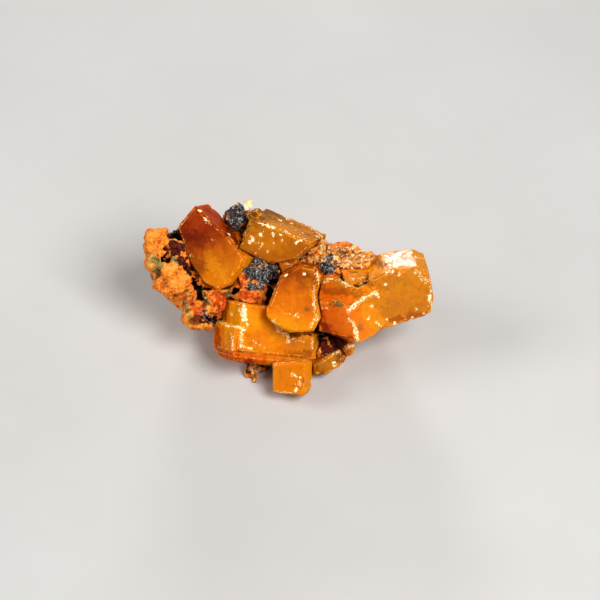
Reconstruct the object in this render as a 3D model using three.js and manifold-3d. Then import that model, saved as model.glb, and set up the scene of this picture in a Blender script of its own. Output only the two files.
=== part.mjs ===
// Wulfenite on matrix: thick honey-orange crystals grown on a lump of iron-stained rock.
// Millimetres, +Z up. The specimen lies on the flat underside of its rock.
// The crystals are laid out on the "show face": x to the right, y up the face, z out of the face.

import * as THREE from "three";
import { mergeVertices } from "three/addons/utils/BufferGeometryUtils.js";
import { ImprovedNoise } from "three/addons/math/ImprovedNoise.js";
import Module from "manifold-3d";

const wasm = await Module();
wasm.setup();

// Driving dimensions
const SHOW_FACE_LEAN = 45; // degrees that the show face is raised at its far side
const REST_DROP = 11; // from the middle of the show face straight down to the resting plane
const ROOT_GAP = 0.3; // clearance between a crystal and whatever it is seated in
const CUT_BLOCK = 120; // edge of the block that trims the underside flat

// Relief of the rock, coarse swells first and then small knobs
const ROCK_RELIEF = [
  { wavelength: 6.5, height: 1.3 },
  { wavelength: 2.6, height: 0.6 },
];
const CREST = 0.6; // height of a ridge line, as a share of its relief
const STEEPNESS = 2.4; // fall from a ridge line to the hollow beside it
const ROUND = 2; // corners of a lump that is a plain ball
const RELIEF_LIMIT = 0.22; // largest share of a lump's smallest half-size that one relief may take
const FRACTURE_SLAB = { width: 64, height: 24, cells: 14, wavelength: 8, relief: 1 };

// Crystals: a flat-faced tablet is its outline on its own front face, its thickness behind that
// face, the width and depth of the bevel around both faces, its place and its turn in degrees.
// Where a crystal overlaps a neighbour, open is how far in front of it the neighbour gives way.
const LEFT_CRYSTAL = {
  outline: [
    [-6.1, 3.5],
    [-3, 7.1],
    [3, 2.3],
    [6.1, -1.4],
    [5.6, -3],
    [2.8, -6.1],
    [1, -6.9],
    [-1.2, -5.8],
    [-3.7, -2.8],
    [-5.1, 0.8],
  ],
  thickness: 6.5,
  bevel: 0.4,
  bevelDepth: 0.5,
  at: [-13, 8, 3.5],
  turn: [4, -21.5, 0],
};

const UPPER_BLOCK = {
  outline: [
    [-4, 3.6],
    [6.6, -0.1],
    [6.4, -1],
    [4.2, -3.1],
    [-0.6, -4.3],
    [-3.1, -3.3],
    [-6.3, -2],
  ],
  thickness: 8.4,
  bevel: 0.35,
  bevelDepth: 0.4,
  at: [-2.7, 9.5, 4.5],
  turn: [12, -20, 0],
  open: 4,
};

const UPPER_UNDER_BLOCK = {
  outline: [
    [-1.7, 0.7],
    [-0.7, -1.6],
    [0.4, -1.6],
    [1.9, -0.4],
    [1.6, 1.6],
    [-0.6, 2.2],
  ],
  thickness: 5,
  bevel: 0.3,
  bevelDepth: 0.3,
  at: [-0.3, 5.2, 3.2],
  turn: [6, -8, 0],
};

const UPPER_SHOULDER = {
  outline: [
    [-1.5, 0],
    [-0.3, 0.8],
    [0.6, 0.9],
    [1.4, 0],
    [0.3, -0.9],
    [-0.6, -1.2],
  ],
  thickness: 2,
  bevel: 0.25,
  bevelDepth: 0.3,
  at: [-5.9, 13.6, 3.4],
  turn: [10, -14, 0],
};

const CENTRE_SHIELD = {
  outline: [
    [-4.4, -1.6],
    [-2.2, 4],
    [1, 5.9],
    [3.6, 5.4],
    [4.6, 4],
    [3.7, 0.5],
    [4.3, -3.3],
    [3.3, -5.4],
    [-0.6, -5.5],
    [-3, -4.4],
    [-4.4, -2.8],
  ],
  thickness: 5.5,
  bevel: 0.5,
  bevelDepth: 0.6,
  at: [0.7, -0.5, 8],
  turn: [6, -4, 0],
};

const FRONT_STEP_TOP = {
  outline: [
    [0, 0],
    [12.9, 0],
    [13.3, 0.6],
    [13.3, 3.6],
    [7.6, 6.2],
    [0.8, 7.3],
    [0, 6.6],
  ],
  thickness: 8,
  bevel: 0.3,
  bevelDepth: 0.3,
  at: [-7.5, -1.1, 6.5],
  turn: [-86.5, 8, 29.3],
};

const FRONT_STEP_BASE = {
  outline: [
    [-0.7, 0.3],
    [15.2, 0.3],
    [16.8, 1.2],
    [16, 3],
    [8, 6.6],
    [0.5, 8.2],
    [-0.7, 7.2],
  ],
  thickness: 4.6,
  bevel: 0.35,
  bevelDepth: 0.4,
  at: [-8.1, -4.8, 6.3],
  turn: [-86.5, 8, 29.3],
};

const FRONT_STEP_FOOT = {
  outline: [
    [-0.3, 0.4],
    [14, 0.4],
    [15, 1.4],
    [14.4, 2.5],
    [6, 6.4],
    [0.6, 7.6],
    [-0.3, 6.8],
  ],
  thickness: 3,
  bevel: 0.8,
  bevelDepth: 1,
  at: [-8.5, -7.9, 6.1],
  turn: [-86.5, 8, 29.3],
};

const BOTTOM_BLOCK = {
  outline: [
    [-2.8, 2.5],
    [2, 3],
    [3, 2.7],
    [2.8, -1.7],
    [2.3, -2.7],
    [-2.9, -2.4],
  ],
  thickness: 4.5,
  bevel: 0.35,
  bevelDepth: 0.4,
  at: [0, -13.5, 5.1],
  turn: [4, -14, 0],
};

const RIGHT_BLOCK = {
  outline: [
    [-6, -4.8],
    [-4.2, -5.9],
    [3.4, -3.5],
    [4.4, -2.7],
    [4.7, -0.3],
    [4.3, 3],
    [3.8, 4.9],
    [1.9, 6],
    [-3.4, 5.4],
    [-6, 4.2],
  ],
  thickness: 7,
  bevel: 0.45,
  bevelDepth: 0.5,
  at: [19.3, -0.5, 4.2],
  turn: [30, 6, 0],
};

const RIGHT_LEDGE = {
  outline: [
    [-3.7, 1.3],
    [3.7, 1.3],
    [3.7, -0.6],
    [1.5, -0.6],
    [-0.2, -1.4],
    [-1.9, -1.4],
    [-3.1, -0.5],
  ],
  thickness: 4.5,
  bevel: 0.3,
  bevelDepth: 0.3,
  at: [12.3, 3.2, 4.4],
  turn: [14, 8, 0],
};

const RIGHT_SADDLE = {
  outline: [
    [-4.9, 3],
    [-1.5, 3.2],
    [-0.2, 1.9],
    [1.6, 0.7],
    [3.6, 1.9],
    [5, 2.3],
    [5.1, -0.5],
    [2.4, -2],
    [0.3, -3.2],
    [-1.9, -2.5],
    [-4.9, -1.9],
  ],
  thickness: 5,
  bevel: 0.25,
  bevelDepth: 0.3,
  at: [9.7, 0.95, 5.2],
  turn: [-31, -8, 0],
};

const CORNER_CHEEK = {
  outline: [
    [-5.4, 0.3],
    [-2.3, 0.8],
    [-0.1, 0.2],
    [0.4, -0.6],
    [1.3, -5.5],
    [-5.8, -5.7],
    [-5.5, -3],
  ],
  thickness: 5,
  bevel: 0.3,
  bevelDepth: 0.3,
  at: [9.9, -1.9, 7.2],
  turn: [27, -26.6, 0],
};

const CORNER_BLOCK = {
  outline: [
    [0, -1],
    [1.2, 0],
    [6.6, 0],
    [6.8, -6],
    [4, -7],
    [0.6, -7],
    [0, -6.4],
  ],
  thickness: 11,
  bevel: 0.35,
  bevelDepth: 0.4,
  at: [9.7, -1.5, 7.5],
  turn: [10.8, 34.9, 16.1],
};

const LOWER_CRYSTAL = {
  outline: [
    [-3.1, -1.6],
    [-1.1, -1.7],
    [0.7, -0.4],
    [1.8, 1.2],
    [1.2, 2.5],
    [-1.5, 1],
    [-3.1, 0],
  ],
  thickness: 3,
  bevel: 0.3,
  bevelDepth: 0.35,
  at: [7.3, -11.3, 0.6],
  turn: [6, 8, 0],
};

const CORNER_CRYSTAL = {
  outline: [
    [-1, -0.3],
    [-0.3, 1],
    [1, 0.7],
    [0.8, -0.7],
    [-0.5, -1.5],
  ],
  thickness: 3,
  bevel: 0.25,
  bevelDepth: 0.3,
  at: [10.2, -8.6, 1],
  turn: [8, 10, 0],
};

const TOP_CHIP = {
  outline: [
    [-0.8, -1],
    [-0.7, 0.7],
    [0, 1.1],
    [0.8, 0.8],
    [0.8, -0.3],
    [0.3, -0.9],
  ],
  thickness: 1.8,
  bevel: 0.2,
  bevelDepth: 0.25,
  at: [-7, 15.1, 1.6],
  turn: [8, -10, 0],
};

// Rock: each lump is a rough ball with three half-sizes; the large ones are the body of the rock.
// Corners above 2 square a lump off, like a broken block.
const ROCK_BODY = [
  { at: [-1, 2, -6.5], size: [19.5, 7.8, 9.5], detail: 5 },
  { at: [0, -0.5, -11], size: [14.5, 7, 8], detail: 4 },
  { at: [-15.5, 4.8, -3.5], size: [7.5, 5, 5.5], detail: 3 },
  { at: [-4, 9, -4.5], size: [9, 4, 5.5], detail: 3 },
  { at: [13, 1, -4], size: [8, 5, 6], detail: 3 },
  { at: [-2, -7.5, -4.5], size: [7, 2.8, 4.5], detail: 2 },
  { at: [6.8, -9, -4.8], size: [3.4, 2.8, 3.6], detail: 2 },
  { at: [-13.5, -1.5, -2], size: [4, 2.8, 4], detail: 2 },
];

const ROCK_KNOBS = [
  { at: [-22, 9, 0.5], size: [1.9, 2.1, 2.2], detail: 2, corners: 3.2 },
  { at: [-18.8, 3.2, 1], size: [3.6, 2.9, 2.8], detail: 4 },
  { at: [-21.4, 6.1, 0.2], size: [2.4, 1.9, 2.3], detail: 2, corners: 2.8 },
  { at: [-19.3, 7.2, 0], size: [2.5, 2.3, 2.2], detail: 2, corners: 2.8 },
  { at: [-18.4, 9.4, -2.4], size: [2.4, 2.1, 2], detail: 1, corners: 2.4 },
  { at: [-14.8, -3.4, 0.6], size: [2.6, 1.8, 2.3], detail: 2, corners: 2.8 },
  { at: [-12.5, -0.8, 1], size: [2.2, 1.9, 1.8], detail: 2, corners: 2.8 },
  { at: [-4.5, 3.3, 1.5], size: [4, 3, 2.5], detail: 3 },
  { at: [-6.5, 0.3, 2.5], size: [2, 1.2, 2], detail: 2 },
  { at: [-7.2, 4.2, 2.5], size: [1.3, 1.1, 1.4], detail: 1 },
  { at: [8.3, 5.2, 1.2], size: [6.2, 2.7, 2.8], detail: 4 },
  { at: [4.8, 7.6, 0.8], size: [2.2, 1.9, 2.2], detail: 2 },
  { at: [12.6, 5.6, 1.2], size: [2.2, 1.7, 2], detail: 2 },
  { at: [6.2, 5.2, 3.8], size: [1.4, 1.4, 1.4], detail: 2 },
  { at: [-9.3, 13.2, -0.5], size: [1.7, 2, 2], detail: 2, corners: 3.4 },
  { at: [-8, 12.4, -2.4], size: [2.4, 2, 2.8], detail: 2 },
  { at: [8.8, -7.9, -2], size: [1.6, 1.8, 2.4], detail: 2 },
  { at: [6.6, -6.4, -3], size: [2.2, 1.5, 2.2], detail: 1 },
  { at: [-6, -10, -4], size: [2.2, 2.2, 2.5], detail: 2 },
  { at: [-6.4, -12.5, -1.8], size: [0.8, 0.9, 1.3], detail: 1 },
  { at: [-5.8, -13.9, -1.8], size: [0.5, 1.3, 0.9], detail: 1 },
  { at: [-4.6, -11.1, -2.8], size: [0.9, 1.1, 1.8], detail: 1 },
  { at: [1.2, -11.6, -2.4], size: [3.2, 2.6, 2.8], detail: 2 },
];

const ROCK_PITS = [
  { at: [-18.8, 10.3, 2], size: [1.3, 1.1, 2.4], detail: 1 },
  { at: [-8.9, 1.1, 3.5], size: [1, 0.8, 2.6], detail: 1 },
  { at: [-3.2, 0.8, 3.6], size: [1.4, 2.1, 2.6], detail: 1 },
  { at: [-20.2, 7.6, 2.8], size: [0.6, 1, 1.8], detail: 1 },
  { at: [-15.6, 2.6, 3.2], size: [1.1, 2.7, 3], detail: 1 },
  { at: [-12.7, -4.2, 3], size: [1.5, 1.6, 2.6], detail: 1 },
];

// Broken faces of the rock, as it lies: a point on each and the way it faces.
const ROCK_FRACTURES = [
  { at: [-8, 12.6, -2], facing: [-0.2, 0.95, 0.16] },
  { at: [9, 11.3, -2], facing: [0.34, 0.9, 0.2] },
  { at: [-18, 6, -7], facing: [-0.72, 0.25, -0.65] },
  { at: [17.5, 5, -6], facing: [0.8, 0.2, -0.55] },
];

const noise = new ImprovedNoise();

function toSolid(geometry) {
  const bare = geometry.clone();
  bare.deleteAttribute("normal");
  bare.deleteAttribute("uv");
  const merged = mergeVertices(bare, 1e-4);
  const mesh = new wasm.Mesh({
    numProp: 3,
    vertProperties: new Float32Array(merged.attributes.position.array),
    triVerts: new Uint32Array(merged.index.array),
  });
  return new wasm.Manifold(mesh);
}

function toGeometry(solid) {
  const mesh = solid.getMesh();
  const geometry = new THREE.BufferGeometry();
  geometry.setAttribute("position", new THREE.BufferAttribute(mesh.vertProperties, 3));
  geometry.setIndex(new THREE.BufferAttribute(mesh.triVerts, 1));
  geometry.computeVertexNormals();
  return geometry;
}

function placing({ at, turn }) {
  const angles = turn.map(THREE.MathUtils.degToRad);
  const rotation = new THREE.Quaternion().setFromEuler(new THREE.Euler(...angles));
  return new THREE.Matrix4().compose(new THREE.Vector3(...at), rotation, new THREE.Vector3(1, 1, 1));
}

// A tablet with its front face at z = 0; grow makes it larger all round, for its pocket in the rock.
function tablet(crystal, grow = 0) {
  const shape = new THREE.Shape(crystal.outline.map(([x, y]) => new THREE.Vector2(x, y)));
  const girdle = crystal.thickness - 2 * crystal.bevelDepth + 2 * grow;
  const geometry = new THREE.ExtrudeGeometry(shape, {
    depth: girdle,
    bevelEnabled: true,
    bevelThickness: crystal.bevelDepth,
    bevelSize: crystal.bevel,
    bevelOffset: grow - crystal.bevel,
    bevelSegments: 1,
    steps: 1,
  });
  geometry.translate(0, 0, grow - girdle - crystal.bevelDepth);
  return toSolid(geometry.applyMatrix4(placing(crystal)));
}

// The space straight in front of a crystal that overlaps its neighbour.
function opening(crystal) {
  const corners = crystal.outline.map(([x, y]) => new THREE.Vector3(x, y, 0).applyMatrix4(placing(crystal)));
  const shape = new THREE.Shape(corners.map(({ x, y }) => new THREE.Vector2(x, y)));
  const geometry = new THREE.ExtrudeGeometry(shape, { depth: crystal.open, bevelEnabled: false });
  geometry.translate(0, 0, Math.min(...corners.map(({ z }) => z)));
  return toSolid(geometry);
}

function joined(solids) {
  return solids.reduce((whole, next) => whole.add(next));
}

// The largest of the pieces that a cut leaves; crumbs that came loose are dropped.
function largestPiece(solid) {
  return solid.decompose().reduce((best, next) => (next.volume() > best.volume() ? next : best));
}

function cluster(crystals) {
  return joined(crystals.map((crystal) => tablet(crystal)));
}

// The room that a cluster takes from whatever grew around it.
function pocketOf(crystals) {
  const openings = crystals.filter((crystal) => crystal.open).map(opening);
  return joined([...crystals.map((crystal) => tablet(crystal, ROOT_GAP)), ...openings]);
}

// Ridged relief between about -1 and 1, with sharp crests like broken rock.
function crag(place, wavelength) {
  const wave = noise.noise(place.x / wavelength, place.y / wavelength, place.z / wavelength);
  return CREST - STEEPNESS * Math.abs(wave);
}

// A rough ball: the relief is read at each point's own place, so neighbouring lumps run together.
function lump({ at, size, detail, corners = ROUND }) {
  const geometry = new THREE.IcosahedronGeometry(1, detail);
  const points = geometry.attributes.position;
  const smallest = Math.min(...size);
  const unit = new THREE.Vector3();
  const place = new THREE.Vector3();
  for (let i = 0; i < points.count; i += 1) {
    unit.fromBufferAttribute(points, i);
    const { x, y, z } = unit;
    const reach = Math.abs(x) ** corners + Math.abs(y) ** corners + Math.abs(z) ** corners;
    unit.divideScalar(reach ** (1 / corners));
    place.set(at[0] + unit.x * size[0], at[1] + unit.y * size[1], at[2] + unit.z * size[2]);
    let swell = 0;
    for (const { wavelength, height } of ROCK_RELIEF) {
      swell += Math.min(height, RELIEF_LIMIT * smallest) * crag(place, wavelength);
    }
    place.addScaledVector(unit.normalize(), swell);
    points.setXYZ(i, place.x, place.y, place.z);
  }
  return toSolid(geometry);
}

const lean = THREE.MathUtils.degToRad(SHOW_FACE_LEAN);

function underside() {
  const block = new THREE.BoxGeometry(CUT_BLOCK, CUT_BLOCK, CUT_BLOCK);
  block.translate(0, 0, -REST_DROP - CUT_BLOCK / 2);
  block.rotateX(-lean);
  return toSolid(block);
}

// What breaks away beyond one broken face: a slab whose inner side is stepped.
function brokenAway({ at, facing }) {
  const { width, height, cells, wavelength, relief } = FRACTURE_SLAB;
  const slab = new THREE.BoxGeometry(width, width, height, cells, cells, 1);
  const points = slab.attributes.position;
  const place = new THREE.Vector3();
  for (let i = 0; i < points.count; i += 1) {
    place.fromBufferAttribute(points, i);
    const across = new THREE.Vector3(place.x + at[0], place.y + at[1], at[2]);
    points.setZ(i, place.z + height / 2 - relief * crag(across, wavelength));
  }
  const outward = new THREE.Vector3(...facing).normalize();
  slab.applyQuaternion(new THREE.Quaternion().setFromUnitVectors(new THREE.Vector3(0, 0, 1), outward));
  slab.translate(...at);
  slab.rotateX(-lean);
  return toSolid(slab);
}

const CLUSTERS = {
  front_crystals: [CENTRE_SHIELD, FRONT_STEP_TOP, FRONT_STEP_BASE, FRONT_STEP_FOOT, BOTTOM_BLOCK],
  right_crystals: [RIGHT_BLOCK, RIGHT_LEDGE, RIGHT_SADDLE, CORNER_CHEEK, CORNER_BLOCK],
  upper_crystals: [UPPER_BLOCK, UPPER_UNDER_BLOCK, UPPER_SHOULDER],
  left_crystal: [LEFT_CRYSTAL],
  lower_crystal: [LOWER_CRYSTAL],
  corner_crystal: [CORNER_CRYSTAL],
  top_chip: [TOP_CHIP],
};

const FINISHES = {
  front_crystals: { color: 0xe07a0c, roughness: 0.3 },
  right_crystals: { color: 0xd08418, roughness: 0.3 },
  upper_crystals: { color: 0xb8740f, roughness: 0.32 },
  left_crystal: { color: 0xa85a10, roughness: 0.3 },
  lower_crystal: { color: 0xe8a02c, roughness: 0.3 },
  corner_crystal: { color: 0xe8a840, roughness: 0.3 },
  top_chip: { color: 0xf0d8b0, roughness: 0.35 },
  matrix: { color: 0xb0602a, roughness: 0.9 },
};

// Each crystal stops short of the ones grown before it, and the rock has a pocket for all of them.
const solids = {};
let pockets = null;
for (const [name, crystals] of Object.entries(CLUSTERS)) {
  const whole = cluster(crystals);
  solids[name] = pockets ? whole.subtract(pockets) : whole;
  const pocket = pocketOf(crystals);
  pockets = pockets ? pockets.add(pocket) : pocket;
}
const rock = joined([...ROCK_BODY, ...ROCK_KNOBS].map(lump));
const lost = joined([...ROCK_PITS.map(lump), ...ROCK_FRACTURES.map(brokenAway), underside(), pockets]);
solids.matrix = largestPiece(rock.subtract(lost));

const showFace = new THREE.Group();
showFace.rotation.x = lean;
for (const [name, solid] of Object.entries(solids)) {
  const material = new THREE.MeshStandardMaterial({ metalness: 0, ...FINISHES[name] });
  const mesh = new THREE.Mesh(toGeometry(solid), material);
  mesh.name = name;
  showFace.add(mesh);
}

// The origin is on the resting plane, under the middle of the whole specimen
const specimen = new THREE.Group();
specimen.add(showFace);
specimen.updateMatrixWorld(true);
const bounds = new THREE.Box3().setFromObject(specimen, true);
const middle = bounds.getCenter(new THREE.Vector3());
showFace.position.set(-middle.x, -middle.y, -bounds.min.z);

export default specimen;
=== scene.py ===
# %% [markdown]
# # Wulfenite on matrix
# The object is a mineral specimen: thick, honey-orange wulfenite crystals grown on a lump of
# iron-stained rock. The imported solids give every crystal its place, and this lesson dresses them.
# Each step first says what the piece is on the real specimen, then how it can be made in Blender.
# Everything is in metres, so the small sizes of a specimen are written as millimetres times MM.

import math
import random

import bmesh
import bpy
import numpy as np
from mathutils import Euler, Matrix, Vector, noise
from mathutils.bvhtree import BVHTree
from mathutils.kdtree import KDTree


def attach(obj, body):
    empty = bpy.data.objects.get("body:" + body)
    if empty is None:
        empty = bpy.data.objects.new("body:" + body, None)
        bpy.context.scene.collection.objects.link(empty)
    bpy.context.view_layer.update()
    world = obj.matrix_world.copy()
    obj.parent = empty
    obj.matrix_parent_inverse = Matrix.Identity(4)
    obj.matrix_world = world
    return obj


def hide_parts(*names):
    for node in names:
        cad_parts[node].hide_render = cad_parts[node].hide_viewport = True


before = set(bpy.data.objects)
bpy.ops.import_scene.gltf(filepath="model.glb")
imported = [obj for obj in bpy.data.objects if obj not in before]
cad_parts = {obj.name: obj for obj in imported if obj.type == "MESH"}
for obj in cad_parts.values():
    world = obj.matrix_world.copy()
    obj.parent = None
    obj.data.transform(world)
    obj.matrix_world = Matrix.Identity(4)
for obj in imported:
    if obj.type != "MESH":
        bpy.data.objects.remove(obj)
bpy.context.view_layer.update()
MM = 0.001
print("solids:", sorted(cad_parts))

# %% [markdown]
# ## The show face and the camera
# Collectors tilt a specimen so that its best crystals face the viewer. Here that show face leans
# back 45 degrees, and the camera looks straight at it from far away with a long lens, as a
# photographer does to keep edges parallel. Places on the face are given in millimetres, to the
# right and up from its middle, so marks can be put where the eye sees them.

# %% Camera
FACE_MIDDLE = Vector((0.07, -0.05, 11.0)) * MM
FACE_LEAN = math.radians(45)
RIGHT = Vector((1, 0, 0))
UP_FACE = Vector((0, math.cos(FACE_LEAN), math.sin(FACE_LEAN)))
OUT_OF_FACE = Vector((0, -math.sin(FACE_LEAN), math.cos(FACE_LEAN)))
VIEW_CENTRE = (1.83, -0.5)
VIEW_DISTANCE = 500
SENSOR = 36
LONG_LENS = 180


def on_face(right, up, out=0.0):
    return FACE_MIDDLE + (RIGHT * right + UP_FACE * up + OUT_OF_FACE * out) * MM


camera = bpy.data.objects.new("camera", bpy.data.cameras.new("camera"))
camera.data.sensor_width = SENSOR
camera.data.lens = LONG_LENS
camera.location = on_face(*VIEW_CENTRE, VIEW_DISTANCE)
camera.rotation_euler = (FACE_LEAN, 0, 0)
bpy.context.scene.collection.objects.link(camera)
bpy.context.scene.camera = camera
print("camera at", [round(x, 3) for x in camera.location])

# %% [markdown]
# ## Light and floor
# A pale floor and soft lamps are enough for a specimen. The key light stands high in front, to the
# right, and a weaker side light on the left keeps the pits readable. A smaller softbox stands low
# behind the specimen: the face of the right block that leans back mirrors it, which gives the
# white glare. It is kept small, because every lamp behind lays a pale veil on the other faces.

# %% Lamps and floor
SPECIMEN_MIDDLE = (0, 0, 10)
ROOM_LIGHT = 0.12
FLOOR_HALF = 1500


def softbox(name, place, size, watts):
    lamp = bpy.data.objects.new(name, bpy.data.lights.new(name, "AREA"))
    lamp.data.shape = "RECTANGLE"
    lamp.data.size, lamp.data.size_y = (s * MM for s in size)
    lamp.data.energy = watts
    lamp.location = Vector(place) * MM
    toward = Vector(SPECIMEN_MIDDLE) * MM - lamp.location
    lamp.rotation_euler = toward.to_track_quat("-Z", "Y").to_euler()
    lamp.visible_camera = False
    bpy.context.scene.collection.objects.link(lamp)


softbox("key_light", (200, -236, 368), (220, 220), 2.7)
softbox("glare_light", (-40, 420, 130), (120, 100), 1.2)
softbox("side_light", (-400, -30, 300), (240, 240), 1.2)

world = bpy.data.worlds.new("studio")
world.use_nodes = True
room = world.node_tree.nodes["Background"]
room.inputs["Color"].default_value = (1, 1, 1, 1)
room.inputs["Strength"].default_value = ROOM_LIGHT
bpy.context.scene.world = world
bpy.context.scene.view_settings.view_transform = "Standard"

floor_shape = bmesh.new()
bmesh.ops.create_grid(floor_shape, x_segments=1, y_segments=1, size=FLOOR_HALF * MM)
floor_mesh = bpy.data.meshes.new("floor")
floor_shape.to_mesh(floor_mesh)
floor_shape.free()
floor = bpy.data.objects.new("floor", floor_mesh)
bpy.context.scene.collection.objects.link(floor)

# %% [markdown]
# ## Short calls for shader nodes
# Every finish below is a small network of shader nodes. These helpers add one node each and
# return its output, so a finish reads like a recipe: noise of a given wavelength, a ramp of
# colours, a mix. Colours are written as on a paint card and turned into linear light.

# %% Shader helpers


def paint(card):
    channels = [int(card[i : i + 2], 16) / 255 for i in (0, 2, 4)]
    linear = [c / 12.92 if c <= 0.04045 else ((c + 0.055) / 1.055) ** 2.4 for c in channels]
    return (*linear, 1.0)


def feed(socket, value):
    if isinstance(value, bpy.types.NodeSocket):
        socket.id_data.links.new(value, socket)
    elif isinstance(value, str):
        socket.default_value = paint(value)
    else:
        socket.default_value = value


def start_finish(name):
    material = bpy.data.materials.new(name)
    material.use_nodes = True
    tree = material.node_tree
    place = tree.nodes.new("ShaderNodeTexCoord").outputs["Object"]
    return material, tree, tree.nodes["Principled BSDF"], place


def grain(tree, place, wavelength, detail=3.0, roughness=0.55, distortion=0.0):
    texture = tree.nodes.new("ShaderNodeTexNoise")
    feed(texture.inputs["Vector"], place)
    texture.inputs["Scale"].default_value = 1 / (wavelength * MM)
    texture.inputs["Detail"].default_value = detail
    texture.inputs["Roughness"].default_value = roughness
    texture.inputs["Distortion"].default_value = distortion
    return texture.outputs["Fac"]


def cell_tones(tree, place, size):
    texture = tree.nodes.new("ShaderNodeTexVoronoi")
    texture.feature = "F1"
    feed(texture.inputs["Vector"], place)
    texture.inputs["Scale"].default_value = 1 / (size * MM)
    return texture.outputs["Color"]


def sums(tree, operation, first, second=0.0):
    node = tree.nodes.new("ShaderNodeMath")
    node.operation = operation
    feed(node.inputs[0], first)
    feed(node.inputs[1], second)
    return node.outputs[0]


def between(tree, value, low, high, to_low=0.0, to_high=1.0):
    node = tree.nodes.new("ShaderNodeMapRange")
    node.interpolation_type = "SMOOTHSTEP"
    feed(node.inputs["Value"], value)
    node.inputs["From Min"].default_value = low
    node.inputs["From Max"].default_value = high
    node.inputs["To Min"].default_value = to_low
    node.inputs["To Max"].default_value = to_high
    return node.outputs["Result"]


def ramp(tree, value, stops):
    node = tree.nodes.new("ShaderNodeValToRGB")
    feed(node.inputs["Fac"], value)
    points = node.color_ramp.elements
    while len(points) < len(stops):
        points.new(1.0)
    for point, (position, card) in zip(points, stops):
        point.position = position
        point.color = paint(card)
    return node.outputs["Color"]


def mix(tree, share, first, second, blend="MIX"):
    # A Mix node has sockets for every data type; these are the ones for the share and the colours.
    node = tree.nodes.new("ShaderNodeMix")
    node.data_type = "RGBA"
    node.blend_type = blend
    feed(node.inputs[0], share)
    feed(node.inputs[6], first)
    feed(node.inputs[7], second)
    return node.outputs[2]


def attribute(tree, name):
    node = tree.nodes.new("ShaderNodeAttribute")
    node.attribute_name = name
    return node.outputs["Fac"]


def relief(tree, height, depth):
    node = tree.nodes.new("ShaderNodeBump")
    feed(node.inputs["Height"], height)
    node.inputs["Distance"].default_value = depth * MM
    node.inputs["Strength"].default_value = 1.0
    return node.outputs["Normal"]


# %% Floor finish
FLOOR_CLOUDS = 60
FLOOR_TONES = [(0.3, "BAB8B5"), (0.7, "C2C0BD")]
FLOOR_ROUGHNESS = 0.9

floor_finish, tree, surface, place = start_finish("pale_paper")
feed(surface.inputs["Base Color"], ramp(tree, grain(tree, place, FLOOR_CLOUDS, 4), FLOOR_TONES))
surface.inputs["Roughness"].default_value = FLOOR_ROUGHNESS
floor.data.materials.append(floor_finish)
print("floor and lamps are set")

# %% [markdown]
# ## Crystal shapes
# A wulfenite crystal is a thick tablet with flat faces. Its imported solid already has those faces,
# so each piece starts as a copy of the solid. The copy is merged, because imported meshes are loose
# triangles, and its flat faces are cut into small triangles. Small triangles let the edges be
# worn round, the rims be chipped and the faces carry the low growth steps of a real crystal.

# %% Helpers that copy and refine a solid
MERGE_DISTANCE = 0.001
FLAT_ANGLE = math.radians(1)
SHARP_ANGLE = math.radians(14)
RIM_STEP = 0.1
MOST_CUTS = 9


def merged_copy(node_name):
    shape = bmesh.new()
    shape.from_mesh(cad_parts[node_name].data)
    bmesh.ops.remove_doubles(shape, verts=shape.verts, dist=MERGE_DISTANCE * MM)
    return shape


def rim_points(shape):
    points = []
    for edge in shape.edges:
        if edge.is_convex and edge.calc_face_angle(0) > SHARP_ANGLE:
            first, second = (v.co for v in edge.verts)
            count = max(1, round(edge.calc_length() / (RIM_STEP * MM)))
            points += [first.lerp(second, i / count) for i in range(count + 1)]
    return points


def tree_of(points):
    tree = KDTree(len(points))
    for index, point in enumerate(points):
        tree.insert(point, index)
    tree.balance()
    return tree


def cut_small(shape, longest):
    for _ in range(MOST_CUTS):
        bmesh.ops.triangulate(shape, faces=[f for f in shape.faces if len(f.verts) > 3])
        long_edges = [e for e in shape.edges if e.calc_length() > longest * MM]
        if not long_edges:
            break
        bmesh.ops.subdivide_edges(shape, edges=long_edges, cuts=1)
    bmesh.ops.triangulate(shape, faces=[f for f in shape.faces if len(f.verts) > 3])


def fade(value, start, end):
    share = min(1.0, max(0.0, (value - start) / (end - start)))
    return share * share * (3 - 2 * share)


# %% [markdown]
# ## Wear and growth on the crystals
# The rims are worn by smoothing only the points close to them. Then every point moves a few
# hundredths of a millimetre along its normal: broad swells, the terraces that a growing face
# leaves, and chips where a rim has been knocked. Noise read at the point's own place keeps it
# the same in every run.

# %% Shape the crystals
CRYSTAL_EDGE = 0.23
WORN_RIM = 0.16
RIM_SMOOTHING = 0.5
SWELL = (3.4, 0.045)
TERRACE = (5.0, 0.03)
TERRACE_STEPS = 4
CHIP_WIDTH = 0.5
CHIP_DEPTH = 0.26
CHIP_WAVELENGTH = 1.2
CHIP_LEVEL = 0.2


def rim_wear(place, rim_distance):
    swell = SWELL[1] * noise.noise(place / SWELL[0])
    level = TERRACE_STEPS * noise.noise(place / TERRACE[0] + Vector((7, 3, 1)))
    terrace = TERRACE[1] * (math.floor(level) + fade(level - math.floor(level), 0.8, 1.0))
    knocked = fade(noise.noise(place / CHIP_WAVELENGTH), CHIP_LEVEL, CHIP_LEVEL + 0.25)
    chip = CHIP_DEPTH * knocked * (1 - fade(rim_distance, 0.1, CHIP_WIDTH))
    return swell + terrace - chip


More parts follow.
